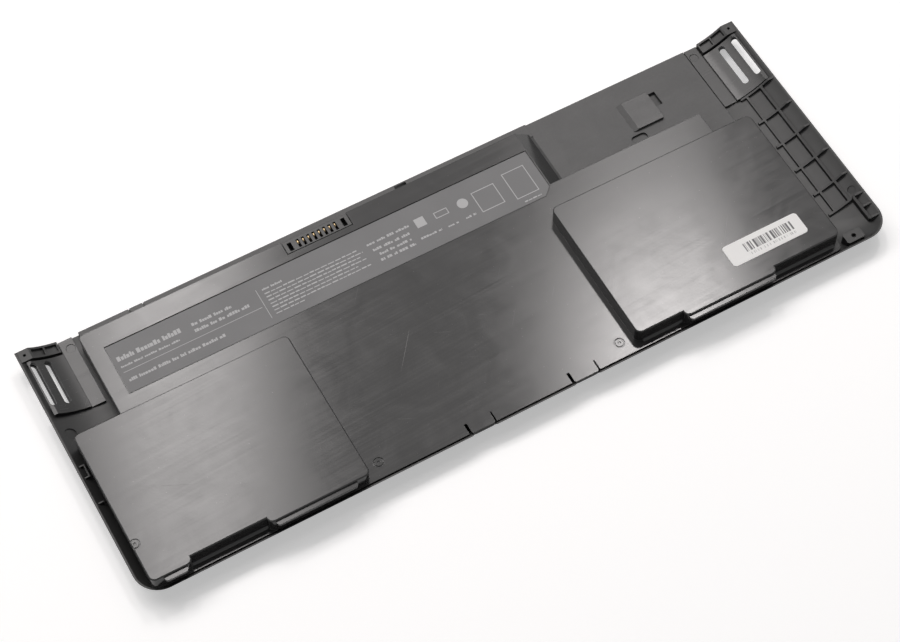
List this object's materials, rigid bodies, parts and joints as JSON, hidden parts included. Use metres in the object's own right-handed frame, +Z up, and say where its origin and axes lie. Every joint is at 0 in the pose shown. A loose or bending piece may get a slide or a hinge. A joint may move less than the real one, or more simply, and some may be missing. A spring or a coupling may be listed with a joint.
{
  "type": "laptop battery",
  "caption": "Slim notebook battery pack that is also part of the underside: shallow tray with up-curved ends, hollow cover with raised cell pads, blade connector and grille inserts.",
  "frame": {"origin": "on the flat underside, at the middle of the outline", "axes": "+X along the pack, +Y towards the connector edge, +Z up from the underside to the cell pads"},
  "size_m": [0.285, 0.103, 0.014],
  "materials": {
    "tray_plastic": "satin black moulded",
    "cover_plastic": "satin black moulded, lightly scuffed",
    "grille_plastic": "satin black moulded",
    "connector_plastic": "matt moulded",
    "contact_gold": "gold plated",
    "label_film": "matt printed film",
    "label_paper": "printed paper",
    "cell_pouch": "laminated film",
    "tape_film": "adhesive film",
    "foam": "open foam",
    "tab_nickel": "nickel strip",
    "board_laminate": "solder mask",
    "chip_resin": "moulded resin",
    "fuse_ceramic": "plain",
    "shunt_metal": "brushed",
    "capacitor_ceramic": "plain",
    "sensor_film": "polyimide film"
  },
  "bodies": {
    "root": {"outer_tray": "tray_plastic", "inner_cover": "cover_plastic", "left_grille_insert": "grille_plastic", "right_grille_insert": "grille_plastic", "connector_housing": "connector_plastic", "contact_blades": "contact_gold", "rating_label": "label_film", "code_label": "label_paper", "left_lower_cell": "cell_pouch", "left_upper_cell": "cell_pouch", "right_lower_cell": "cell_pouch", "right_upper_cell": "cell_pouch", "middle_left_cell": "cell_pouch", "middle_right_cell": "cell_pouch", "floor_tapes": "tape_film", "stack_tapes": "tape_film", "left_foam_pad": "foam", "right_foam_pad": "foam", "middle_foam_pads": "foam", "left_cell_tabs": "tab_nickel", "right_cell_tabs": "tab_nickel", "middle_cell_tabs": "tab_nickel", "left_cell_lead": "tab_nickel", "right_cell_lead": "tab_nickel", "protection_board": "board_laminate", "fuel_gauge_chip": "chip_resin", "power_transistors": "chip_resin", "safety_fuse": "fuse_ceramic", "current_shunt": "shunt_metal", "board_capacitors": "capacitor_ceramic", "temperature_sensor": "sensor_film"}
  },
  "joints": []
}
